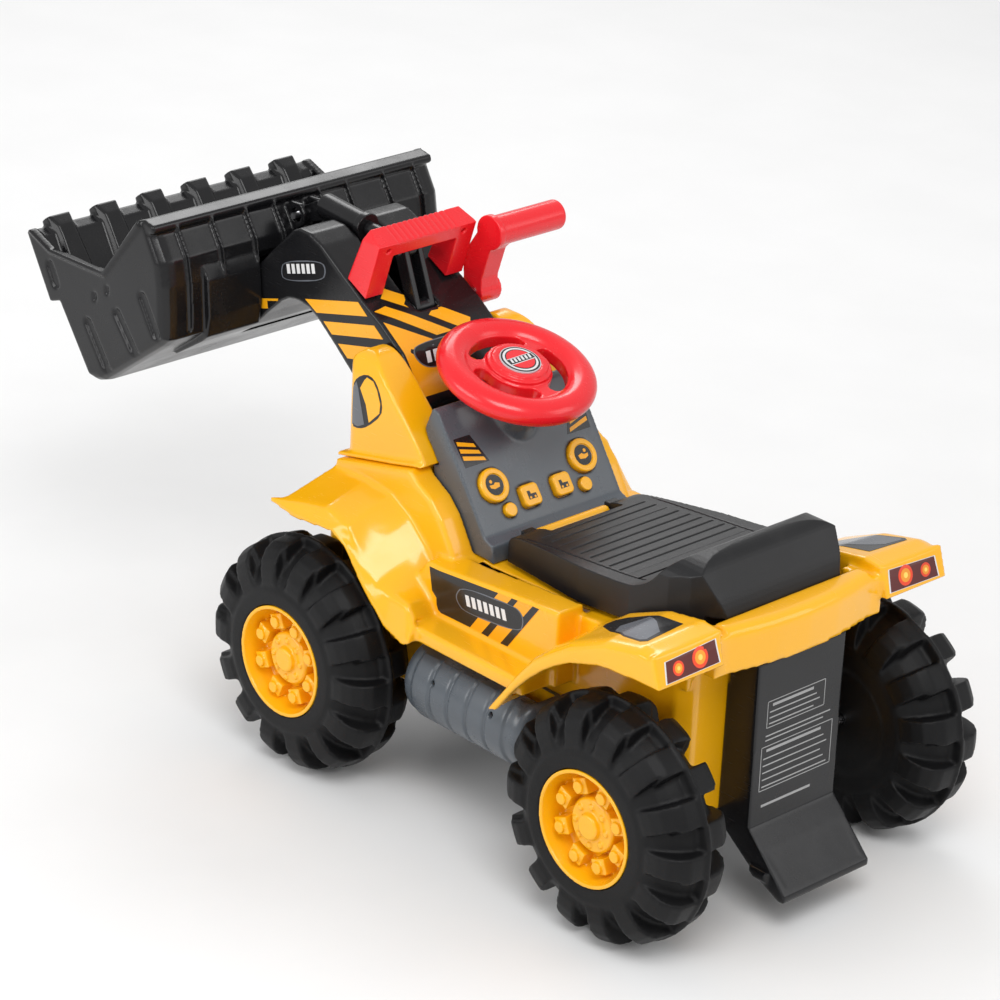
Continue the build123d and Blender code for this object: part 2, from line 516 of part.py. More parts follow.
def tank(s):
    t = xcyl(TANK_Y, TANK_Z, TANK_R - 2, 114, 261)
    t = fillet(t.edges(), 12)
    t = t + xcyl(TANK_Y, TANK_Z, TANK_R - 2.5, 126, 249)
    for i in range(5):
        x0 = 133 + i * 22.5
        rib = xcyl(TANK_Y, TANK_Z, TANK_R, x0 + 1.2, x0 + 21.3)
        t += fillet(rib.edges(), 1.8)
    t -= xcyl(TANK_Y, TANK_Z, TANK_R - 6, 120, 255)
    t -= box(100, 270, 60, 98.3, 60, 170)
    t -= box(100, 270, 60, 160, 148.5, 190)
    t -= box(105, 265, 60, 121.5, 149.0, 190)
    for x in (150, 221):
        t -= Pos(x, 150, TANK_Z + 13) * Rot(90, 0, 0) * Cylinder(2.6, 26)
    return t if s > 0 else mirror(t, about=Plane.XZ)


save("tank_left", tank(1))
save("tank_right", tank(-1))

# ---------------------------------------------------------------------------
# seat lid with its backrest, hinge pin
# ---------------------------------------------------------------------------
seat_side = rounded([(-28, 263.3), (-23, 277), (-13, 291), (-5, 302), (6, 307.5), (16, 304), (26, 294), (38, 278), (52, 268.5), (70, 264.5), (120, 260), (196, 252.5),
                     (213, 248.0), (217, 241)]) + [(217, 224), (119, 228), (50, 236), (-12, 240.5), (-12, 263.0)]
seat = prism(seat_side, -90, 90)
seat &= cross([(90, 200), (90, 250)] + rounded([(90, 262), (88.5, 282), (79, 298), (60, 305.5), (30, 306.5)], 2) + [(-y, z) for y, z in rounded([(90, 262), (88.5, 282), (79, 298), (60, 305.5), (30, 306.5)], 2)][::-1] + [(-90, 250), (-90, 200)], -40, 230)
seat_plan = [(-32, -62), (-32, 62), (-20, 72), (0, 81), (20, 85), (60, 87), (120, 84.5), (219, 71), (219, -71), (120, -84.5), (60, -87), (20, -85), (0, -81), (-20, -72)]
seat &= plan(seat_plan, 200, 320)
seat -= prism([(-8, 200), (-8, 268), (-2, 290), (4, 299), (12, 298), (22, 288), (36, 271), (52, 263), (70, 259.5), (118, 256), (190, 249), (190, 200)], -68, 68)
# grooves between the slats of the seat top and along their ends
def seat_top(x):
    return 264.5 + (x - 70) * (260 - 264.5) / 50 if x < 120 else 260 + (x - 120) * (252.5 - 260) / 76


for i in range(11):
    x = 66 + i * 12.2
    w = 71 - (x - 60) * 0.085
    seat -= box(x - 0.9, x + 0.9, -w, w, seat_top(x) - 1.6, 275)
for s in (1, -1):
    seat -= prism([(58, seat_top(58) - 1.4), (120, 258.6), (196, 251.2), (196, 262), (58, 272)], min(s * 70.0, s * 71.6), max(s * 70.0, s * 71.6)) & plan(
        [(58, -80), (58, 80), (196, 80), (196, -80)], 240, 280)
# notch in the front edge for the hinge lug
seat -= box(196.5, 225, -42, 42, 215, 260)
seat += box(203, 219, 42, 55, 232, 247) + box(203, 219, -55, -42, 232, 247)
seat -= ycyl(SEAT_HINGE[0], SEAT_HINGE[1], 2.5 + RUN, -56, 56)
save("seat", seat)
save("seat_hinge_pin", ycyl(SEAT_HINGE[0], SEAT_HINGE[1], 2.5, -54, 54))

# ---------------------------------------------------------------------------
# loader arm: hollow moulding, open underneath
# ---------------------------------------------------------------------------
arm_pts = [(340, 290), (342, 316), (371, 355), (400, 375), (425, 388), (449, 403), (477, 421), (494, 427.5), (508, 428), (516, 424),
           (529, 411), (544, 397), (569, 370), (602, 350), (608, 338), (602, 324), (589.6, 307), (579, 311), (566.7, 319.6),
           (550, 336), (531, 353), (519, 360), (508, 361), (493.8, 359.6), (481, 353), (458, 336), (437.5, 319.6), (400, 288),
           (380, 272), (358, 272)]
arm = prism(arm_pts, -ARM_Y, ARM_Y)
arm -= prism(inset(arm_pts, 3.0), -ARM_Y + 3, ARM_Y - 3)
# long slot in the top for the inner lever and the tie rod
arm -= prism([(402, 368), (402, 440), (466, 440), (466, 395)], -12, 12)
arm -= prism([(455, 400), (455, 440), (560, 440), (560, 381), (520, 395)], -15.5, 15.5)
# slot walls
sw = [(452, 403.0), (478, 419.8), (495, 425.3), (507, 426), (515, 422), (527, 409), (542, 395), (556, 383), (552, 372), (520, 392), (478, 396), (452, 392)]
arm += prism(sw, 15.5, 18.5) + prism(sw, -18.5, -15.5)
# bosses for the three shafts
arm += ycyl(LIFT[0], LIFT[1], 12, -ARM_Y, -ARM_Y + 16) + ycyl(LIFT[0], LIFT[1], 12, ARM_Y - 16, ARM_Y)
arm += (ycyl(TIP[0], TIP[1], 10, -ARM_Y, -20) + ycyl(TIP[0], TIP[1], 10, 20, ARM_Y))
crank_boss = ycyl(CRANK[0], CRANK[1], 8.5, -ARM_Y, -13) & prism(arm_pts, -ARM_Y, ARM_Y)
arm = arm + prism([(340, 290), (346, 290), (346, 300), (341, 300)], -ARM_Y, ARM_Y)
arm += crank_boss
arm -= ycyl(LIFT[0], LIFT[1], LIFT_R + RUN, -60, 60)
arm -= ycyl(TIP[0], TIP[1], TIP_R, -60, 60)
arm -= ycyl(CRANK[0], CRANK[1], CRANK_R + RUN, -60, -10)
save("arm_shell", arm)
save("bucket_pivot_pin", ycyl(TIP[0], TIP[1], TIP_R - 0.02, -66, 66))

# ---------------------------------------------------------------------------
# red lift handle on top of the arm
# ---------------------------------------------------------------------------
ch = prism([(421.4, 387), (444.6, 401.4), (423.3, 450.7), (405, 440.5)], -56, 56)
ch -= prism([(400, 360), (385, 420), (411.4, 428.7), (429.6, 438.9), (470, 430), (460, 370)], -36, 36)
ch -= cross([(50, 452), (57, 440), (60, 452)], 380, 460) + cross([(-50, 452), (-57, 440), (-60, 452)], 380, 460)
ch -= prism([(410, 384.2), (446, 402.0), (446, 380), (410, 370)], -57, 57)
grooves = None
for i in range(12):
    y = -33 + i * 6.0
    g = prism([(403, 437.2), (424.8, 449.4), (423.4, 453), (401, 441)], y - 1.0, y + 1.0)
    g = g & prism([(404.2, 439.4), (424.2, 450.5), (420, 456), (400, 445)], y - 1.2, y + 1.2)
    grooves = g if grooves is None else grooves + g
ch -= grooves
for s in (1, -1):
    ch -= Pos(407.6, s * 43, 434.5) * Rot(0, 60, 0) * Cylinder(2.4, 8)
save("lift_handle", ch)
# ---------------------------------------------------------------------------
# bucket crank: red lever with its grip, shaft and inner lever
# ---------------------------------------------------------------------------
GRIP = (393.5, 432.5)
lev = prism([(380.5, 428), (392, 415.5), (400.5, 388), (400, 372), (411, 361.5), (422.5, 372), (424.5, 400), (420.5, 411), (407, 431), (398, 441)], -80, -60)
lev += ycyl(CRANK[0], CRANK[1], 12, -84, -60)
lev += ycyl(GRIP[0], GRIP[1], 15.5, -66, -60)
gr = ycyl(GRIP[0], GRIP[1], 13.5, -141, -62)
gr = fillet(gr.edges().group_by(Axis.Y)[0], 3.0)
lev += gr
lev -= ycyl(CRANK[0], CRANK[1], CRANK_R, -80, -50)
save("crank_handle", lev)
save("crank_shaft", ycyl(CRANK[0], CRANK[1], CRANK_R, -79.8, 11))
bx, bz = LEVER_PIN
ax, az = CRANK
dl = Vector(bx - ax, 0, bz - az)
nl = Vector(-dl.Z, 0, dl.X).normalized()


def bar2(p, q, w, y0, y1):
    d = Vector(q[0] - p[0], 0, q[1] - p[1]).normalized()
    n = Vector(-d.Z, 0, d.X)
    pts = [(p[0] + n.X * w, p[1] + n.Z * w), (q[0] + n.X * w, q[1] + n.Z * w), (q[0] - n.X * w, q[1] - n.Z * w), (p[0] - n.X * w, p[1] - n.Z * w)]
    return prism(pts, y0, y1) + ycyl(p[0], p[1], w, y0, y1) + ycyl(q[0], q[1], w, y0, y1)


il = bar2(CRANK, LEVER_PIN, 6.8, 5.2, 10.5) + bar2(CRANK, LEVER_PIN, 6.8, -10.5, -5.2) + ycyl(ax, az, 6.8, -10.5, 10.5)
il -= ycyl(ax, az, CRANK_R, -20, 20)
il -= ycyl(bx, bz, PIN_R, -20, 20)
save("crank_lever", il)
save("lever_pin", ycyl(bx, bz, PIN_R - 0.02, -10.5, 10.5))

# ---------------------------------------------------------------------------
# tie rod dressed as a cylinder: rod and sleeve
# ---------------------------------------------------------------------------
P0 = Vector(bx, 0, bz)
P1 = Vector(540.0, 0, 428.0)
du = (P1 - P0).normalized()


def along(t):
    return P0 + du * t


rod = extrude(Plane(origin=along(8), z_dir=du) * Circle(6.5), amount=44)
rod += extrude(Plane(origin=along(2), z_dir=du) * Rectangle(9.6, 9.6), amount=8) & box(400, 450, -4.8, 4.8, 400, 440)
rod += ycyl(bx, bz, 6.5, -4.8, 4.8)
rod -= ycyl(bx, bz, PIN_R + RUN, -20, 20)
save("tie_rod", rod)
slv = extrude(Plane(origin=along(52), z_dir=du) * Circle(13), amount=7)
slv += extrude(Plane(origin=along(59), z_dir=du) * Circle(11.3), amount=50)
slv += prism([(530, 417), (538, 432), (546, 431), (570, 417), (566, 407.5), (558, 408), (540, 414)], -5, 5)
slv += ycyl(LUG_PIN[0], LUG_PIN[1], 7.0, -5, 5)
slv -= ycyl(LUG_PIN[0], LUG_PIN[1], PIN_R, -20, 20)
save("tie_rod_sleeve", slv)
save("bucket_link_pin", ycyl(LUG_PIN[0], LUG_PIN[1], PIN_R - 0.02, -15.5, 15.5))

# ---------------------------------------------------------------------------
# bucket
# ---------------------------------------------------------------------------
B_out = [(586, 431), (566, 400), (562, 378), (560, 345), (560, 330), (572, 320), (650, 263), (660, 259.5), (670, 263), (712, 322), (722, 317.5),
         (758, 373), (754, 378)]
side_pl = [(586, 431), (566, 400), (562, 378), (560, 345), (560, 330), (572, 320), (650, 263), (660, 259.5), (670, 263), (710, 322), (724, 317),
           (758, 373), (752, 376), (722, 365), (646, 367), (600, 427)]
cav = [(592, 431), (570, 399), (566, 378), (564, 345), (564, 333.5), (575, 323.5), (652, 267.5), (660, 264.5), (667, 268), (748, 382), (760, 400), (700, 470), (600, 470)]
SN = [(1, 0), (0.95, -0.3), (1, -0.1), (1, 0), (0.9, 0.4), (0.6, 0.8), (0.55, 0.83), (0, 1), (-0.3, 0.4), (0, 0), (0, 0), (0, 0), (0, 0), (0, 0), (0, 0), (0, 0)]
CN = [(1, 0), (0.95, -0.3), (1, -0.1), (1, 0), (0.9, 0.4), (0.6, 0.8), (0.55, 0.83), (0, 1), (-0.3, 0.4), (0, 0), (0, 0), (0, 0), (0, 0)]


def shifted(pts, nrm, d):
    return [(p[0] + n[0] * d, p[1] + n[1] * d) for p, n in zip(pts, nrm)]


def rounded_bar(pts, nrm, half, steps):
    """Solid through the outline whose ends close in by the given (depth, shift) steps."""
    row = [(half - dy, d) for dy, d in steps]
    return sweep([(-y, shifted(pts, nrm, d)) for y, d in row] + [(y, shifted(pts, nrm, d)) for y, d in row[::-1]])


bk = rounded_bar(side_pl, SN, BUCKET_Y, [(0, 9), (2.2, 4.6), (7, 1.2), (14, 0)])
bk -= rounded_bar(cav, CN, BUCKET_Y - 3.5, [(0, 7), (2.0, 3.4), (6, 0.8), (12, 0)])
# flange along the top rear edge, overhanging the ribs of the back wall
bk += prism([(577.5, 425.0), (580, 422.5), (588, 424), (597, 426), (597.5, 431), (592, 433), (579, 430.5)], -BUCKET_Y + 1, BUCKET_Y - 1)
# rims along the upper edges of the sides
for s in (1, -1):
    y0, y1 = (BUCKET_Y - 6, BUCKET_Y + 2.5) if s > 0 else (-BUCKET_Y - 2.5, -BUCKET_Y + 6)
    bk += prism([(597, 432), (646.5, 369.5), (722.2, 367.5), (751, 378), (754, 375.5), (723, 364), (645, 365.5), (594, 426)], y0, y1)
# ribs on the outside of the back wall
for y in (-138, -102, -58, -26, 26, 58, 96, 134):
    bk += prism([(587, 427), (567, 400), (563, 378), (561, 345), (561, 332), (555, 338), (554, 345), (556.5, 380), (561, 402), (578, 427)], y - 0.9, y + 0.9)
# teeth that run on as ribs down the floor
fl = Vector(756 - 667, 0, 376 - 268).normalized()
TEETH_Y = [-131, -78.6, -26.2, 26.2, 78.6, 131]
for y in TEETH_Y:
    tooth = prism([(672, 274), (668, 281), (739, 379), (751.5, 385.5), (760.5, 378.5), (757, 372), (752, 376)], y - 12.5, y + 12.5)
    tooth &= extrude(Plane(origin=(668, y, 277), x_dir=(0, 1, 0), z_dir=(fl.X, 0, fl.Z)) * Polyline_face([(-12.5, -10), (-12.5, 3), (-8, 9.5), (8, 9.5), (12.5, 3), (12.5, -10)]), amount=160, both=True)
    bk += tooth
# sunken panels pressed into the sides
for s in (1, -1):
    for (x0, z0), (x1, z1) in (((668.6, 314), (640.5, 276.7)), ((627.1, 335.5), (600.7, 304.5)), ((592, 362), (573, 333)), ((724, 351), (716, 337))):
        d = Vector(x1 - x0, 0, z1 - z0).normalized()
        n = Vector(-d.Z, 0, d.X) * 5.2
        q = [(x0 + n.X, z0 + n.Z), (x1 + n.X, z1 + n.Z), (x1 - n.X, z1 - n.Z), (x0 - n.X, z0 - n.Z)]
        y0, y1 = (BUCKET_Y - 2.2, BUCKET_Y + 1) if s > 0 else (-BUCKET_Y - 1, -BUCKET_Y + 2.2)
        bk -= prism(q, y0, y1) + ycyl(x0, z0, 5.2, y0, y1) + ycyl(x1, z1, 5.2, y0, y1)
    for x, z in ((659.2, 341.8), (641.4, 353.3)):
        bk -= box(x - 2.5, x + 2.5, min(s * 160, s * 166), max(s * 160, s * 166), z - 4.5, z + 4.5)
# centre back panel and bracket that holds the arm
back = prism([(577, 410), (556, 378), (553, 345), (556, 326), (566, 318), (600, 296), (604, 300), (575, 330), (572, 345), (574, 378), (590, 410)], -118, 118)
bk += back - prism([(592, 410), (568, 378), (564, 345), (564, 333.5), (575, 323.5), (652, 267.5), (700, 300), (640, 400)], -118, 118)
br = [(608, 384), (590, 372), (577, 352), (576, 330), (586, 312.5), (606, 294), (606, 300), (640, 300), (640, 384)]
for s in (1, -1):
    y0, y1 = (60.2, 64.2) if s > 0 else (-64.2, -60.2)
    plate = prism([(600, 392), (585, 372), (577, 352), (576, 332), (584, 316), (606, 294), (640, 300), (648, 345), (630, 392)], y0, y1)
    bk += plate
# pocket that the arm tip enters: front, top and bottom walls
bk += prism([(606, 296), (640, 278), (650, 300), (650, 350), (618, 392), (600, 402), (598, 398), (614, 388), (645, 348), (645, 303), (636, 284), (609, 300)], -64.2, 64.2)
# lug for the tie rod
for s in (1, -1):
    y0, y1 = (8.0, 13.0) if s > 0 else (-13.0, -8.0)
    bk += prism([(573, 425), (558, 426), (552, 418), (553, 408), (562, 401), (572, 398), (582, 412)], y0, y1)
for (x, z) in ((0, 0),):
    bk -= ycyl(LUG_PIN[0], LUG_PIN[1], LUG_EYE_R, -20, 20)
bk -= ycyl(TIP[0], TIP[1], TIP_R + RUN, -80, 80)
# room for the arm end through the whole tilt of the bucket
arm_env = prism(inset(arm_pts, -1.0), -ARM_Y - 1, ARM_Y + 1)
about_tip = Pos(TIP[0], 0, TIP[1])
lugs = bk & box(545, 592, -13.2, 13.2, 396, 430)
for a in range(-18, 9, 2):
    bk -= about_tip * Rot(0, a, 0) * Pos(-TIP[0], 0, -TIP[1]) * arm_env
bk += lugs
save("bucket", bk)

SCREWS = [(40, 80), (40, -80), (190, 80), (190, -80), (330, 80), (330, -80)]
sg = None
for (x, y) in SCREWS:
    k = Pos(x, y, 81.05) * Cylinder(4, 1.9) + Pos(x, y, 85) * Cylinder(1.7, 8)
    parts["underbody"] = parts["underbody"] - Pos(x, y, 84) * Cylinder(1.7, 14) - Pos(x, y, 80.5) * Cylinder(4.2, 3)
    sg = k if sg is None else sg + k
save("underbody_screws", sg)
# screws that hold the lift handle from inside the arm
up_n = Vector(-0.5274, 0, 0.8496)
hs = None
for s in (1, -1):
    c = Vector(433.0, s * 46.0, 394.2)
    shank = extrude(Plane(origin=c - up_n * 4.3, z_dir=up_n) * Circle(1.7), amount=12)
    k = shank + extrude(Plane(origin=c - up_n * 6.8, z_dir=up_n) * Circle(3.6), amount=2.5)
    parts["arm_shell"] = parts["arm_shell"] - shank
    parts["lift_handle"] = parts["lift_handle"] - shank
    hs = k if hs is None else hs + k
save("handle_screws", hs)

for name, shape in parts.items():
    export_step(Pos(XS, 0, 0) * shape, "parts/" + name + ".step")
print(len(parts), "nodes written")
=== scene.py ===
import json
import math

import bmesh
import bpy
from mathutils import Matrix, Vector


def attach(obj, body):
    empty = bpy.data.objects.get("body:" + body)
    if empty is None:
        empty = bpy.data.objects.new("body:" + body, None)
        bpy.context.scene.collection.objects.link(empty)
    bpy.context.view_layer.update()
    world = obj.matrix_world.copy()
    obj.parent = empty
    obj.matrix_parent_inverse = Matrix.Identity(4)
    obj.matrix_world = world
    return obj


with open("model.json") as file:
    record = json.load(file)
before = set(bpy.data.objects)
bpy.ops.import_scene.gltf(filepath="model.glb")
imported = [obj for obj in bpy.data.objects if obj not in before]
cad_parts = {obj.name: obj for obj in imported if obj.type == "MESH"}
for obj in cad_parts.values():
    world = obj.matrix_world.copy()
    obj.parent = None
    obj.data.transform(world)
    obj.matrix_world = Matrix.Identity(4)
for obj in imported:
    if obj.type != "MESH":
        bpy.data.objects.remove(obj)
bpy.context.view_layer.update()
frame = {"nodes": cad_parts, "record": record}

NODES = frame["nodes"]
XS = -327.75                     # layout millimetres -> frame metres, as in the CAD


def L(x, y, z):
    return Vector(((x + XS) / 1000.0, y / 1000.0, z / 1000.0))


# ---------------------------------------------------------------- materials
def node(nt, kind, x, y, **kw):
    n = nt.nodes.new(kind)
    n.location = (x, y)
    for k, v in kw.items():
        setattr(n, k, v)
    return n


def plastic(name, rgb, rough, grain=900.0, grain_h=0.00006, var=0.07, coat=0.0, peel=45.0, peel_h=0.0002,
            spec=0.5, dust=0.05, scratch=0.35):
    """Moulded plastic: faint colour drift, orange-peel, fine grain, rubbed scratches and a trace of dust."""
    m = bpy.data.materials.new(name)
    m.use_nodes = True
    nt = m.node_tree
    b = nt.nodes["Principled BSDF"]
    tc = node(nt, "ShaderNodeTexCoord", -1500, 0)
    big = node(nt, "ShaderNodeTexNoise", -1200, 300)
    big.inputs["Scale"].default_value = 7.0
    big.inputs["Detail"].default_value = 5.0
    nt.links.new(tc.outputs["Object"], big.inputs["Vector"])
    ramp = node(nt, "ShaderNodeValToRGB", -950, 300)
    lo = [max(0.0, c * (1 - var)) for c in rgb]
    hi = [min(1.0, c * (1 + var) + 0.002) for c in rgb]
    ramp.color_ramp.elements[0].position = 0.35
    ramp.color_ramp.elements[0].color = (*lo, 1)
    ramp.color_ramp.elements[1].position = 0.68
    ramp.color_ramp.elements[1].color = (*hi, 1)
    nt.links.new(big.outputs["Fac"], ramp.inputs["Fac"])
    # dust and rubbing collects in broad soft patches
    pat = node(nt, "ShaderNodeTexNoise", -1200, 0)
    pat.inputs["Scale"].default_value = 22.0
    pat.inputs["Detail"].default_value = 8.0
    pat.inputs["Roughness"].default_value = 0.62
    nt.links.new(tc.outputs["Object"], pat.inputs["Vector"])
    pr = node(nt, "ShaderNodeMapRange", -950, 0)
    pr.inputs["From Min"].default_value = 0.52
    pr.inputs["From Max"].default_value = 0.80
    pr.inputs["To Min"].default_value = 0.0
    pr.inputs["To Max"].default_value = dust
    nt.links.new(pat.outputs["Fac"], pr.inputs["Value"])
    mix = node(nt, "ShaderNodeMix", -650, 250, data_type="RGBA")
    mix.inputs["B"].default_value = (0.55, 0.53, 0.50, 1)
    nt.links.new(pr.outputs["Result"], mix.inputs["Factor"])
    nt.links.new(ramp.outputs["Color"], mix.inputs["A"])
    nt.links.new(mix.outputs["Result"], b.inputs["Base Color"])
    # long thin scratches
    mp = node(nt, "ShaderNodeMapping", -1200, -300)
    mp.inputs["Rotation"].default_value = (0.4, 0.7, 0.5)
    mp.inputs["Scale"].default_value = (60.0, 900.0, 700.0)
    nt.links.new(tc.outputs["Object"], mp.inputs["Vector"])
    sc = node(nt, "ShaderNodeTexNoise", -950, -300)
    sc.inputs["Scale"].default_value = 1.0
    sc.inputs["Detail"].default_value = 2.0
    nt.links.new(mp.outputs["Vector"], sc.inputs["Vector"])
    sr = node(nt, "ShaderNodeMapRange", -700, -300)
    sr.inputs["From Min"].default_value = 0.66
    sr.inputs["From Max"].default_value = 0.72
    sr.inputs["To Min"].default_value = 0.0
    sr.inputs["To Max"].default_value = scratch
    nt.links.new(sc.outputs["Fac"], sr.inputs["Value"])
    rr = node(nt, "ShaderNodeMapRange", -700, -50)
    rr.inputs["From Min"].default_value = 0.3
    rr.inputs["From Max"].default_value = 0.75
    rr.inputs["To Min"].default_value = max(0.03, rough - 0.05)
    rr.inputs["To Max"].default_value = rough + 0.09
    nt.links.new(pat.outputs["Fac"], rr.inputs["Value"])
    ad = node(nt, "ShaderNodeMath", -450, -100, operation="ADD")
    ml = node(nt, "ShaderNodeMath", -560, -250, operation="MULTIPLY")
    ml.inputs[1].default_value = 0.25
    nt.links.new(sr.outputs["Result"], ml.inputs[0])
    nt.links.new(rr.outputs["Result"], ad.inputs[0])
    nt.links.new(ml.outputs["Value"], ad.inputs[1])
    nt.links.new(ad.outputs["Value"], b.inputs["Roughness"])
    # relief: orange peel, then fine grain
    pe = node(nt, "ShaderNodeTexNoise", -950, -550)
    pe.inputs["Scale"].default_value = peel
    pe.inputs["Detail"].default_value = 2.0
    nt.links.new(tc.outputs["Object"], pe.inputs["Vector"])
    gr = node(nt, "ShaderNodeTexNoise", -950, -750)
    gr.inputs["Scale"].default_value = grain
    gr.inputs["Detail"].default_value = 3.0
    nt.links.new(tc.outputs["Object"], gr.inputs["Vector"])
    b1 = node(nt, "ShaderNodeBump", -600, -550)
    b1.inputs["Strength"].default_value = 1.0
    b1.inputs["Distance"].default_value = peel_h
    nt.links.new(pe.outputs["Fac"], b1.inputs["Height"])
    b2 = node(nt, "ShaderNodeBump", -350, -600)
    b2.inputs["Strength"].default_value = 1.0
    b2.inputs["Distance"].default_value = grain_h
    nt.links.new(gr.outputs["Fac"], b2.inputs["Height"])
    nt.links.new(b1.outputs["Normal"], b2.inputs["Normal"])
    nt.links.new(b2.outputs["Normal"], b.inputs["Normal"])
    b.inputs["Coat Weight"].default_value = coat
    b.inputs["Coat Roughness"].default_value = 0.08
    b.inputs["Specular IOR Level"].default_value = spec
    return m


def metal(name, rgb, rough):
    m = plastic(name, rgb, rough, grain=1400.0, grain_h=0.00002, var=0.10, peel=160.0, peel_h=0.00002, dust=0.02, scratch=0.8)
    m.node_tree.nodes["Principled BSDF"].inputs["Metallic"].default_value = 1.0
    return m


MAT = {
    "yellow_plastic": plastic("yellow_plastic", (0.92, 0.445, 0.003), 0.21, grain=500, grain_h=0.00001, var=0.03, coat=0.3, peel=30, peel_h=0.00012, dust=0.01),
    "red_plastic": plastic("red_plastic", (0.80, 0.010, 0.018), 0.24, grain=700, grain_h=0.00003, var=0.04, coat=0.15, peel=40, peel_h=0.00012, dust=0.01),
    "black_plastic": plastic("black_plastic", (0.007, 0.007, 0.008), 0.22, grain=700, grain_h=0.00002, var=0.15, coat=0.0, peel=38, peel_h=0.00014, dust=0.008, spec=0.36),
    "seat_plastic": plastic("seat_plastic", (0.008, 0.008, 0.009), 0.36, grain=1300, grain_h=0.00012, var=0.15, peel=60, peel_h=0.00008, dust=0.015, spec=0.35),
    "tyre_plastic": plastic("tyre_plastic", (0.004, 0.004, 0.0045), 0.44, grain=1100, grain_h=0.00024, var=0.15, peel=70, peel_h=0.0002, dust=0.006, spec=0.20),
    "grey_plastic": plastic("grey_plastic", (0.078, 0.091, 0.106), 0.27, grain=700, grain_h=0.00004, var=0.06, coat=0.1, peel=40, peel_h=0.00012, dust=0.02),
    "steel": metal("steel", (0.62, 0.62, 0.64), 0.28),
    "board": plastic("board", (0.02, 0.16, 0.06), 0.4, var=0.2),
    "keypad_rubber": plastic("keypad_rubber", (0.62, 0.62, 0.58), 0.6, var=0.1),
    "cell": plastic("cell", (0.06, 0.08, 0.12), 0.35, var=0.2),
    "badge": plastic("badge", (0.60, 0.61, 0.64), 0.25, var=0.08, coat=0.5),
    "decal_black": plastic("decal_black", (0.010, 0.010, 0.011), 0.20, grain=300, grain_h=0.00001, var=0.2, peel=20, peel_h=0.00004, dust=0.02),
    "decal_orange": plastic("decal_orange", (0.90, 0.40, 0.006), 0.26, grain=300, grain_h=0.00001, var=0.06, peel=20, peel_h=0.00004, dust=0.02),
    "decal_amber": plastic("decal_amber", (0.90, 0.375, 0.005), 0.22, grain=300, grain_h=0.00001, var=0.05, peel=20, peel_h=0.00004, dust=0.02),
    "decal_rule": plastic("decal_rule", (0.30, 0.30, 0.30), 0.4, grain=300, grain_h=0.00001, var=0.15, peel=20, peel_h=0.00004, dust=0.02),
    "lamp_core": plastic("lamp_core", (1.0, 0.66, 0.12), 0.15, grain=300, grain_h=0.00001, var=0.05, peel=20, peel_h=0.00004, dust=0.01, coat=0.4),
    "decal_white": plastic("decal_white", (0.72, 0.72, 0.72), 0.30, grain=300, grain_h=0.00001, var=0.05, peel=20, peel_h=0.00004, dust=0.02),
    "decal_grey": plastic("decal_grey", (0.13, 0.14, 0.16), 0.22, grain=300, grain_h=0.00001, var=0.15, peel=20, peel_h=0.00004, dust=0.02),
    "lamp_dark": plastic("lamp_dark", (0.10, 0.008, 0.006), 0.16, grain=300, grain_h=0.00001, var=0.15, peel=20, peel_h=0.00004, dust=0.01, coat=0.4),
    "lamp_red": plastic("lamp_red", (0.85, 0.06, 0.012), 0.15, grain=300, grain_h=0.00001, var=0.15, peel=20, peel_h=0.00004, dust=0.01, coat=0.4),
    "lamp_amber": plastic("lamp_amber", (0.95, 0.33, 0.02), 0.15, grain=300, grain_h=0.00001, var=0.2, peel=20, peel_h=0.00004, dust=0.01, coat=0.4),
}

slot_of = {s["node"]: s["material_slot"] for s in frame["record"]["subparts"]}
for n, o in NODES.items():
    o.data.materials.clear()
    o.data.materials.append(MAT[slot_of[n]])


# ---------------------------------------------------------------- softened CAD pieces
def soften(o, voxel, smooth=4, factor=0.5):
    """Rounds a moulded piece: fine remesh, then a light smoothing."""
    r = o.modifiers.new("skin", "REMESH")
    r.mode = "VOXEL"
    r.voxel_size = voxel
    r.adaptivity = 0.0
    r.use_smooth_shade = True
    s = o.modifiers.new("round", "SMOOTH")
    s.factor = factor
    s.iterations = smooth
    return o


def soft_edge(o, width, seg=3, angle=35.0):
    w = o.modifiers.new("weld", "WELD")
    w.merge_threshold = 0.00002
    b = o.modifiers.new("edge", "BEVEL")
    b.width = width
    b.segments = seg
    b.limit_method = "ANGLE"
    b.angle_limit = math.radians(angle)
    b.harden_normals = False
    return o


K = 1.0
VOX = {
    "body_shell": (0.0019, 5), "front_tower": (0.0013, 14), "dashboard": (0.0014, 4), "seat": (0.0007, 1), "arm_shell": (0.0017, 3),
    "bucket": (0.0013, 4), "lift_handle": (0.0006, 14), "crank_handle": (0.0007, 5), "steering_wheel": (0.0010, 4), "rear_stopper": (0.0014, 2),
    "tank_left": (0.0011, 2), "tank_right": (0.0014, 2), "tyre_front_left": (0.0016, 3), "tyre_front_right": (0.0020, 3),
    "tyre_rear_left": (0.0016, 3), "tyre_rear_right": (0.0016, 3), "hubcap_front_left": (0.0009, 2), "hubcap_rear_left": (0.0009, 2),
    "hubcap_front_right": (0.0012, 2), "hubcap_rear_right": (0.0012, 2), "tie_rod": (0.0006, 2), "tie_rod_sleeve": (0.0006, 3),
    "crank_lever": (0.0006, 2), "battery_box": (0.0012, 1),
    "button_round_left": (0.0004, 2), "button_round_right": (0.0004, 2), "button_square_left": (0.0004, 2), "button_square_right": (0.0004, 2),
    "button_small_left": (0.0003, 2), "button_small_right": (0.0003, 2),
}
for n, (v, it) in VOX.items():
    if n in NODES:
        soften(NODES[n], v * K, it)


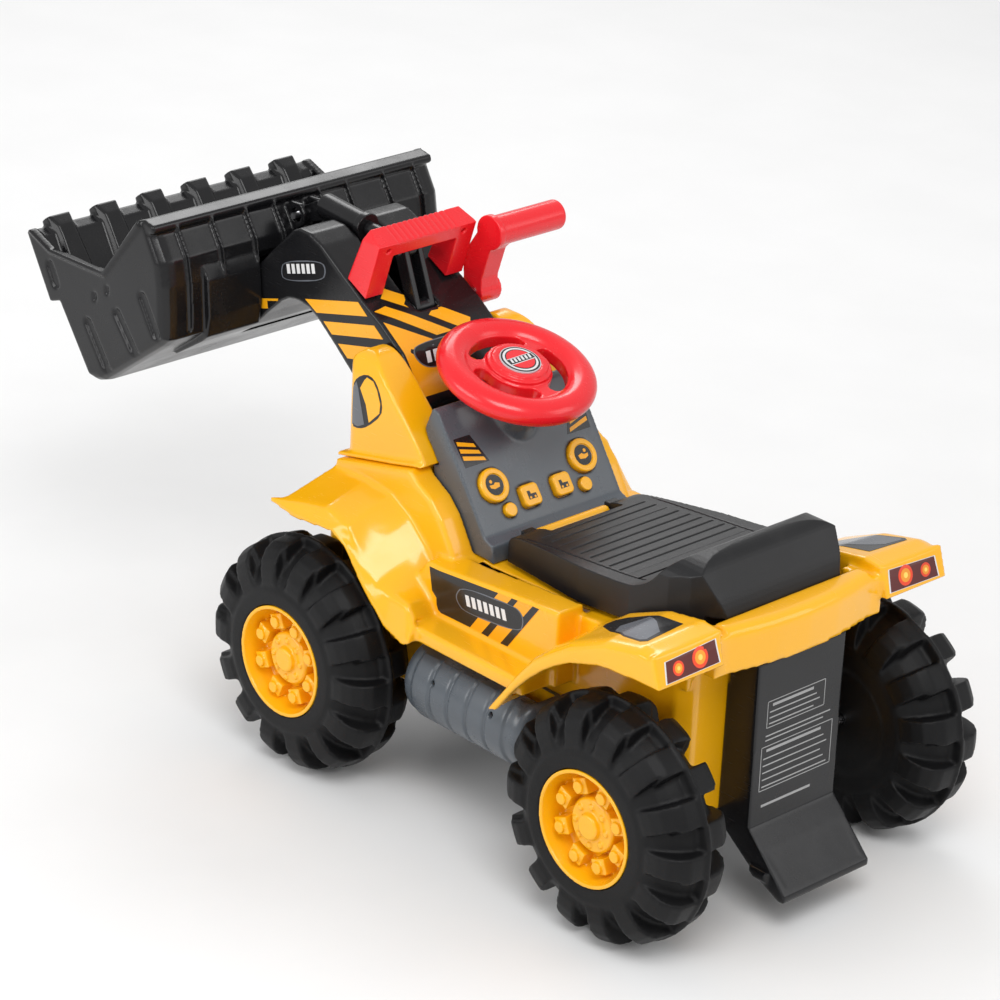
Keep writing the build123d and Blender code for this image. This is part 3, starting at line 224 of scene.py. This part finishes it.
# ---------------------------------------------------------------- studio
def add_mesh(name, verts, faces, mat=None, smooth=False):
    me = bpy.data.meshes.new(name)
    me.from_pydata([tuple(v) for v in verts], [], faces)
    me.validate()
    me.update()
    if smooth:
        me.polygons.foreach_set("use_smooth", [True] * len(me.polygons))
    o = bpy.data.objects.new(name, me)
    bpy.context.scene.collection.objects.link(o)
    if mat is not None:
        me.materials.append(mat)
    return o


# ---------------------------------------------------------------- printed stickers
from mathutils.bvhtree import BVHTree
from mathutils.geometry import delaunay_2d_cdt

DG = bpy.context.evaluated_depsgraph_get()
TREES = {}


def tree(node_name):
    if node_name not in TREES:
        TREES[node_name] = BVHTree.FromObject(NODES[node_name], DG)
    return TREES[node_name]


def smoothed(pts, n=2, f=0.25):
    """Closed outline with its corners cut."""
    pts = [Vector(p) for p in pts]
    for _ in range(n):
        q = []
        for a, b in zip(pts, pts[1:] + pts[:1]):
            q.append(a.lerp(b, f))
            q.append(a.lerp(b, 1 - f))
        pts = q
    return pts


def shrunk(pts, d):
    """Flat convex outline drawn in towards its middle by about d metres."""
    c = sum((Vector(p) for p in pts), Vector()) / len(pts)
    return [Vector(p) + (c - Vector(p)).normalized() * d for p in pts]


def decal(name, pts, out, node_name, mat, body, lift=0.0003, step=0.005, reach=0.012, deep=0.0006):
    """Thin printed film pressed on a CAD piece. pts in metres, out the way it faces."""
    out = Vector(out).normalized()
    pts = [Vector(p) for p in pts]
    c = sum(pts, Vector()) / len(pts)
    e1 = (pts[1] - pts[0])
    e1 = (e1 - out * e1.dot(out)).normalized()
    e2 = out.cross(e1)
    flat = [Vector(((p - c).dot(e1), (p - c).dot(e2))) for p in pts]
    poly, grid = [], []
    for a, b in zip(flat, flat[1:] + flat[:1]):
        n = max(1, int((b - a).length / step))
        poly += [a.lerp(b, i / n) for i in range(n)]
    lo = [min(p[i] for p in poly) for i in (0, 1)]
    hi = [max(p[i] for p in poly) for i in (0, 1)]
    nx, ny = int((hi[0] - lo[0]) / step) + 1, int((hi[1] - lo[1]) / step) + 1
    for i in range(nx):
        for j in range(ny):
            grid.append(Vector((lo[0] + (i + 0.37) * step, lo[1] + (j + 0.41) * step)))

    def inside(q):
        w = False
        for a, b in zip(poly, poly[1:] + poly[:1]):
            if (a.y > q.y) != (b.y > q.y) and q.x < (b.x - a.x) * (q.y - a.y) / (b.y - a.y) + a.x:
                w = not w
        return w

    def far(q):
        return min((q - a).length for a in poly) > step * 0.45

    grid = [q for q in grid if inside(q) and far(q)]
    ne = len(poly)
    vs, es, fs, _, _, _ = delaunay_2d_cdt(poly + grid, [(i, (i + 1) % ne) for i in range(ne)], [list(range(ne))], 1, 1e-7)
    t = tree(node_name)
    top, ok = [], []
    for q in vs:
        p = c + e1 * q[0] + e2 * q[1]
        hit = t.ray_cast(p + out * reach, -out, reach * 2.2)[0]
        ok.append(hit is not None)
        top.append(hit if hit is not None else p)
    hs = sorted((h - c).dot(out) for h, k in zip(top, ok) if k)
    if not hs:
        return None
    keep = []
    for f in fs:
        if not all(ok[i] for i in f):
            continue
        d = [(top[i] - c).dot(out) for i in f]
        if max(d) - min(d) > step * 1.3:
            continue
        keep.append(list(f))
    used = sorted({i for f in keep for i in f})
    at = {i: k for k, i in enumerate(used)}
    n = len(used)
    verts = [top[i] + out * lift for i in used] + [top[i] - out * deep for i in used]
    faces = []
    count = {}
    for f in keep:
        g = [at[i] for i in f]
        a, b, d = verts[g[0]], verts[g[1]], verts[g[2]]
        if (b - a).cross(d - a).dot(out) < 0:
            g = g[::-1]
        faces.append(tuple(g))
        faces.append(tuple(i + n for i in g[::-1]))
        for i, k in zip(g, g[1:] + g[:1]):
            count[(i, k)] = count.get((i, k), 0) + 1
    for (i, k) in list(count):
        if (k, i) not in count:
            faces.append((k, i, i + n, k + n))
    o = add_mesh(name, verts, faces, MAT[mat])
    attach(o, body)
    return o


def LL(pts):
    return [L(*p) for p in pts]


def bars(prefix, p0, along_v, up_v, n, w, gap, h, slant, out, node_name, mat, body, lift):
    """A row of slanted bars in place of any lettering."""
    for i in range(n):
        a = p0 + along_v * (i * (w + gap))
        pts = [a, a + along_v * w, a + along_v * (w + slant) + up_v * h, a + along_v * slant + up_v * h]
        decal(prefix + "_%d" % i, pts, out, node_name, mat, body, lift=lift, step=0.004)


for tag, sgn in (("left", 1), ("right", -1)):
    out = Vector((0, sgn, 0))

    def SP(pts):
        return [L(x, sgn * 121, z) for x, z in pts]

    decal("side_ground_" + tag, SP([(125.5, 229.8), (175, 225.6), (205.5, 183.0), (160, 183.0)]), out, "body_shell", "decal_amber", "chassis", lift=0.00015)
    decal("side_black_" + tag, SP([(257.6, 218.6), (246, 218.9), (174.6, 225.6), (205.7, 182.6), (246.4, 181.8), (247.6, 193.6), (253.2, 198.2)]), out, "body_shell", "decal_black", "chassis", lift=0.00025)
    decal("side_stripe1_" + tag, SP([(158.6, 227.0), (151.4, 227.6), (184, 182.4), (191.9, 182.6)]), out, "body_shell", "decal_black", "chassis", lift=0.0003)
    decal("side_stripe2_" + tag, SP([(134.2, 229.1), (126.4, 229.6), (160.6, 182.7), (169, 182.4)]), out, "body_shell", "decal_black", "chassis", lift=0.0003)
    pill = smoothed(SP([(225, 205.6), (217, 216.1), (154.9, 221.7), (145.7, 218.4), (142.6, 211.7), (145.7, 200.2), (213, 193.3), (222, 198.8)]), 2)
    decal("side_pill_rim_" + tag, pill, out, "body_shell", "decal_grey", "chassis", lift=0.00045)
    decal("side_pill_" + tag, shrunk(pill, 0.0014), out, "body_shell", "decal_black", "chassis", lift=0.0006)
    ax = (L(150, sgn * 121, 210.5) - L(215, sgn * 121, 204.3)).normalized()
    bars("side_bar_" + tag, L(210, sgn * 121, 200.5), ax, Vector((0, 0, 1)), 7, 0.0045, 0.0027, 0.0095, -0.003, out, "body_shell", "decal_white", "chassis", 0.00075)

    def AP(pts):
        return [L(x, sgn * 57, z) for x, z in pts]

    pill = smoothed(AP([(530.7, 381.9), (526.9, 392.7), (476.5, 408.1), (470.1, 400.5), (474.8, 389.3), (526.3, 373.8)]), 2)
    decal("arm_pill_rim_" + tag, pill, out, "arm_shell", "decal_grey", "arm", lift=0.0003)
    decal("arm_pill_" + tag, shrunk(pill, 0.0014), out, "arm_shell", "decal_black", "arm", lift=0.00045)
    ax = (L(484, sgn * 57, 400) - L(520, sgn * 57, 389)).normalized()
    bars("arm_bar_" + tag, L(521, sgn * 57, 382.5), ax, Vector((0, 0, 1)), 6, 0.0042, 0.0026, 0.009, -0.002, out, "arm_shell", "decal_white", "arm", 0.0006)
    for k, q in enumerate((
            [(572.0, 343.6), (523.8, 358.0), (536.8, 344.6), (572.0, 334.4)],
            [(574.4, 325.1), (561.5, 328.8), (574.2, 318.6), (576, 318.4)],
            [(497.3, 366.3), (428.6, 385), (416.3, 375.7), (481.7, 358.4)],
            [(472.4, 353.5), (407.2, 370.2), (395, 361.5), (460.9, 344.9)],
            [(452.6, 339), (386, 355), (373, 345), (439.9, 329.6)])):
        decal("arm_stripe%d_%s" % (k, tag), AP(q), out, "arm_shell", "decal_orange", "arm", lift=0.0003)

    # tower window
    def TP(pts):
        return [L(x, sgn * 94, z) for x, z in pts]

    ring = smoothed(TP([(391.0, 330), (386.4, 338.6), (376.4, 344.6), (366.2, 343.6), (358.2, 336.6), (352.6, 325.2), (353.4, 314.6), (370.2, 298.8), (381, 293.5), (391, 293)]), 1)
    decal("window_line_" + tag, ring, out, "front_tower", "decal_black", "chassis", lift=0.0002, reach=0.03)
    inner = shrunk(TP([(381.5, 331), (377.5, 339), (374.6, 342.6), (366.2, 341.6), (359.8, 335.6), (354.6, 324.8), (355.4, 315.6), (368.4, 303), (373, 318)]), 0.0004)
    decal("window_frame_" + tag, inner, out, "front_tower", "yellow_plastic", "chassis", lift=0.00045, reach=0.03)
    glass = shrunk(TP([(390.5, 329), (386.6, 335.5), (383.4, 330), (377.5, 312), (374, 299.5), (382, 295.0), (390.5, 294.6)]), 0.0004)
    decal("window_glass_" + tag, glass, out, "front_tower", "decal_grey", "chassis", lift=0.00045, reach=0.03)

# rear mudguard windows
GW = [(-22, 108.5), (-25, 151), (-20, 154.5), (2, 151.5), (28, 141), (52, 126.5), (60, 116), (44, 107), (20, 104.5)]
GS = [(16, 108), (0, 116), (-18.5, 131), (-21.5, 149), (-17, 152), (2, 149.5), (22, 141), (30, 128)]
for tag, sg in (("left", 1), ("right", -1)):
    q, w = [(x, sg * y, 262) for x, y in GW][::sg], [(x, sg * y, 262) for x, y in GS][::sg]
    decal("guard_window_" + tag, LL(q), (0.2, 0, 1), "body_shell", "decal_black", "chassis", lift=0.0003, step=0.003, reach=0.03)
    decal("guard_shine_" + tag, LL(w), (0.2, 0, 1), "body_shell", "decal_grey", "chassis", lift=0.00045, step=0.003, reach=0.03)

# tail lights
for tag, sg in (("left", 1), ("right", -1)):
    out = Vector((-1, 0, 0.33)).normalized()
    q = [(157.8, 263.4), (100.5, 266.6), (99.0, 245.9), (159.6, 244.6)]
    P = [L(-50, sg * y, z) for y, z in q]
    decal("tail_rim_" + tag, P, out, "body_shell", "decal_white", "chassis", lift=0.0002, reach=0.02)
    decal("tail_dark_" + tag, shrunk(P, 0.0016), out, "body_shell", "lamp_dark", "chassis", lift=0.00035, reach=0.02)
    up = Vector((0.33, 0, 1)).normalized()
    for k, (y, z, r0) in enumerate(((144.2, 254.4, 6.0), (119.9, 256.4, 8.6))):
        c0 = L(-50, sg * y, z)
        for m, (rr, mt, lf) in enumerate(((1.0, "lamp_red", 0.0005), (0.66, "lamp_amber", 0.00065), (0.28, "lamp_core", 0.0008))):
            ring = [c0 + Vector((0, 1, 0)) * math.cos(t * math.pi / 14) * r0 * rr / 1000 + up * math.sin(t * math.pi / 14) * r0 * rr / 1000 for t in range(28)]
            decal("tail_lamp%d%d_%s" % (k, m, tag), ring, out, "body_shell", mt, "chassis", lift=lf, step=0.003, reach=0.02)

# dash: hazard panels, button faces
DN = Vector((-1, 0, 0.761)).normalized()
DT = Vector((0.761, 0, 1)).normalized()
DY = Vector((0, 1, 0))


def face_pt(y, z):
    return L(52.62 + 0.761 * z, y, z)


for tag, sg in (("left", 1), ("right", -1)):
    q = [(56.5, 309.1), (45.5, 288.5), (72.5, 288.5), (74.6, 309.1)]
    if sg < 0:
        q = [(-56.5, 309.1), (-45.5, 288.5), (-72.5, 288.5), (-74.6, 309.1)]
    decal("hazard_black_" + tag, [face_pt(y, z) for y, z in q], DN, "dashboard", "decal_black", "chassis", lift=0.0002)
    for k in range(3):
        z0 = 290.0 + k * 5.2
        f0 = (z0 - 288.5) / 20.6
        a = 47.0 + f0 * 11 + 1.0
        b = 71.5 + f0 * 2
        decal("hazard_bar%d_%s" % (k, tag), [face_pt(sg * a, z0 - 0.6), face_pt(sg * (a + 1.2), z0 + 2.2), face_pt(sg * b, z0 + 6.6), face_pt(sg * b, z0 + 3.6)], DN, "dashboard", "decal_orange", "chassis", lift=0.0004, step=0.003)

for name, y, z, kind in (("button_round_left", 51.5, 271.9, "round"), ("button_round_right", -51.5, 271.9, "round"),
                         ("button_square_left", 18.5, 257.9, "square"), ("button_square_right", -18.5, 257.9, "square")):
    body = name.replace("button", "press")
    c0 = face_pt(y, z) + DN * 0.005
    if kind == "round":
        disc = [c0 + DY * math.cos(t * math.pi / 16) * 0.0092 + DT * math.sin(t * math.pi / 16) * 0.0092 for t in range(32)]
        decal(name + "_disc", disc, DN, name, "decal_black", body, lift=0.0002, step=0.003, reach=0.004)
        s1 = 1 if y > 0 else -1
        mark = [(-5.5, 0.5), (-4.6, -2.8), (1.5, -3.6), (5.2, -2.0), (5.6, 0.6), (1.0, 0.2), (-1.0, 1.8)]
        decal(name + "_mark", [c0 + DY * a * s1 / 1000 + DT * b / 1000 for a, b in mark], DN, name, "decal_orange", body, lift=0.00035, step=0.003, reach=0.004)
        dot = [c0 + DY * (0.003 * s1 + math.cos(t * math.pi / 8) * 0.0016) + DT * (0.0034 + math.sin(t * math.pi / 8) * 0.0016) for t in range(16)]
        decal(name + "_dot", dot, DN, name, "decal_orange", body, lift=0.00035, step=0.003, reach=0.004)
    else:
        mark = [(-4.6, -4.0), (4.6, -4.0), (4.6, 3.6), (1.6, 3.6), (1.2, 0.6), (-4.6, 0.4)]
        decal(name + "_mark", [c0 + DY * a / 1000 + DT * b / 1000 for a, b in mark], DN, name, "decal_black", body, lift=0.0002, step=0.003, reach=0.006)
        for w in (-2.6, 2.6):
            dot = [c0 + DY * (w / 1000 + math.cos(t * math.pi / 8) * 0.0011) + DT * (-0.0026 + math.sin(t * math.pi / 8) * 0.0011) for t in range(16)]
            decal(name + "_wheel%d" % (w > 0), dot, DN, name, "decal_orange", body, lift=0.00035, step=0.003, reach=0.006)

# steering badge: rings and a slanted band
ST = math.radians(16.5)
SU = Vector((-math.sin(ST), 0, math.cos(ST)))
SX = Vector((math.cos(ST), 0, math.sin(ST)))
SC = L(289.5, 0, 352.6) + SU * 0.0128
for k, (rr, mt, lf) in enumerate(((17.2, "decal_black", 0.0002), (15.6, "decal_white", 0.00035), (13.6, "decal_black", 0.0005), (12.6, "red_plastic", 0.00065))):
    ring = [SC + SX * math.cos(t * math.pi / 18) * rr / 1000 + DY * math.sin(t * math.pi / 18) * rr / 1000 for t in range(36)]
    decal("badge_ring%d" % k, ring, SU, "steering_badge", mt, "steering", lift=lf, step=0.004, reach=0.005)
band = [(-14.6, 3.6), (-14.6, -4.4), (14.6, -4.0), (14.6, 4.0)]
decal("badge_band", [SC - DY * a / 1000 + SX * b / 1000 for a, b in band], SU, "steering_badge", "decal_white", "steering", lift=0.0008, step=0.004, reach=0.005)
band = [(-13.8, 2.8), (-13.8, -3.6), (13.8, -3.2), (13.8, 3.2)]
decal("badge_band_in", [SC - DY * a / 1000 + SX * b / 1000 for a, b in band], SU, "steering_badge", "decal_black", "steering", lift=0.00095, step=0.004, reach=0.005)
for i in range(6):
    a0 = -11.5 + i * 4.0
    decal("badge_bar_%d" % i, [SC - DY * (a0 + da) / 1000 + SX * b / 1000 for da, b in ((0, -2.4), (2.2, -2.4), (3.2, 2.4), (1.0, 2.4))], SU, "steering_badge", "decal_white", "steering", lift=0.0011, step=0.004, reach=0.005)

# arm top
AN = Vector((-0.568, 0, 0.823)).normalized()
for k, (mt, q, lf) in enumerate((
        ("decal_amber", [(400, 53.5, 374), (378, 20, 359), (362, -8, 343), (352, -30, 330), (348, -53, 324), (347, 0, 323), (347, 53, 323), (372, 53.5, 355)], 0.0002),
        ("decal_orange", [(429, 28, 390), (421, 38, 386), (378, -18, 360), (378, -28, 360), (384, -33, 364)], 0.00035),
        ("decal_orange", [(413, 40, 382), (411, 54, 381), (378, 11, 360), (378, -7, 360)], 0.00035))):
    decal("arm_top%d" % k, LL(q), AN, "arm_shell", mt, "arm", lift=lf, reach=0.03, step=0.006)
pill = smoothed(LL([(371, 46, 354), (376, 36, 358), (376, -20, 358), (371, -30, 354), (362, -26, 345), (358, -10, 342), (358, 30, 342), (362, 42, 346)]), 2)
decal("arm_top_pill_rim", pill, AN, "arm_shell", "decal_grey", "arm", lift=0.00035, reach=0.03)
decal("arm_top_pill", shrunk(pill, 0.0014), AN, "arm_shell", "decal_black", "arm", lift=0.0005, reach=0.03)
bars("arm_top_bar", L(362, 34, 346), Vector((0, -1, 0)), Vector((0.75, 0, 0.66)), 7, 0.005, 0.0032, 0.0095, 0.0022, AN, "arm_shell", "decal_white", "arm", 0.00065)

# plate on the rear stopper: two framed boxes with short rules in them
SO = Vector((-1, 0, 0.0))


def stop_pt(y, z):
    return L(-53, y, z)


def frame_box(tag, y0, y1, z0, z1, rows):
    w = 0.7
    for k, (a, b, c1, d1) in enumerate(((y0, y1, z1 - w, z1), (y0, y1, z0, z0 + w), (y0, y0 - w, z0, z1), (y1 + w, y1, z0, z1))):
        decal("plate_%s_edge%d" % (tag, k), [stop_pt(a, c1), stop_pt(b, c1), stop_pt(b, d1), stop_pt(a, d1)], SO, "rear_stopper", "decal_rule", "chassis", lift=0.0002, step=0.01, reach=0.006)
    for i in range(rows):
        z = z1 - 5.5 - i * (z1 - z0 - 8.5) / max(1, rows - 1)
        h = 2.4 if i == 0 else 1.1
        a = y0 - (6 if i == 0 else 3)
        b = y1 + (14 if i == 0 else 3 + (i * 7) % 11)
        decal("plate_%s_rule%d" % (tag, i), [stop_pt(a, z), stop_pt(b, z), stop_pt(b, z + h), stop_pt(a, z + h)], SO, "rear_stopper", "decal_rule", "chassis", lift=0.0002, step=0.01, reach=0.006)


frame_box("upper", 38, -30, 168, 192, 4)
frame_box("lower", 42, -42, 112, 152, 6)
for i, (z, b) in enumerate(((160.5, -38), (156.5, -30), (97, -20))):
    h = 2.2 if i == 2 else 1.1
    decal("plate_rule%d" % i, [stop_pt(38, z), stop_pt(b, z), stop_pt(b, z + h), stop_pt(38, z + h)], SO, "rear_stopper", "decal_rule", "chassis", lift=0.0002, step=0.01, reach=0.006)


floor_mat = plastic("floor_paper", (0.86, 0.86, 0.86), 0.6, grain=300, grain_h=0.00002, var=0.01, peel=5, peel_h=0.00005, dust=0.0, scratch=0.0, spec=0.15)
S = 6.0
floor = add_mesh("floor", [(-S, -S, 0), (S, -S, 0), (S, S, 0), (-S, S, 0)], [(0, 1, 2, 3)], floor_mat)

world = bpy.data.worlds.new("studio")
bpy.context.scene.world = world
world.use_nodes = True
bg = world.node_tree.nodes["Background"]
bg.inputs["Color"].default_value = (1.0, 1.0, 1.0, 1)
bg.inputs["Strength"].default_value = 0.68


def area(name, loc, aim, size, power):
    d = bpy.data.lights.new(name, "AREA")
    d.shape = "RECTANGLE"
    d.size, d.size_y = size
    d.energy = power
    o = bpy.data.objects.new(name, d)
    bpy.context.scene.collection.objects.link(o)
    o.location = loc
    o.rotation_euler = (Vector(aim) - Vector(loc)).to_track_quat("-Z", "Y").to_euler()
    return o


area("key", (-1.6, 1.2, 2.6), (0, 0, 0.2), (1.6, 1.2), 40)
area("side", (0.6, 2.6, 1.3), (0, 0, 0.2), (1.8, 1.0), 22)
area("back", (-2.4, -1.6, 1.6), (0, 0, 0.2), (1.4, 1.4), 11)
area("rim", (2.0, -1.4, 2.2), (0, 0, 0.3), (1.5, 1.0), 22)

# camera
az, el, ro = math.radians(-44.21), math.radians(24.27), math.radians(2.79)
d = Vector((math.cos(el) * math.cos(az), math.cos(el) * math.sin(az), -math.sin(el)))
r = Vector((math.sin(az), -math.cos(az), 0.0))
u = r.cross(d)
r2 = math.cos(ro) * r + math.sin(ro) * u
u2 = -math.sin(ro) * r + math.cos(ro) * u
cam_d = bpy.data.cameras.new("camera")
cam_d.sensor_width = 36.0
cam_d.lens = 3759.77 / 1000.0 * 36.0
cam_d.clip_end = 50.0
cam = bpy.data.objects.new("camera", cam_d)
bpy.context.scene.collection.objects.link(cam)
cam.matrix_world = Matrix.Translation(L(-1802.71, 2047.62, 1553.60)) @ Matrix((r2, u2, -d)).transposed().to_4x4()
bpy.context.scene.camera = cam
bpy.context.scene.view_settings.view_transform = "Standard"
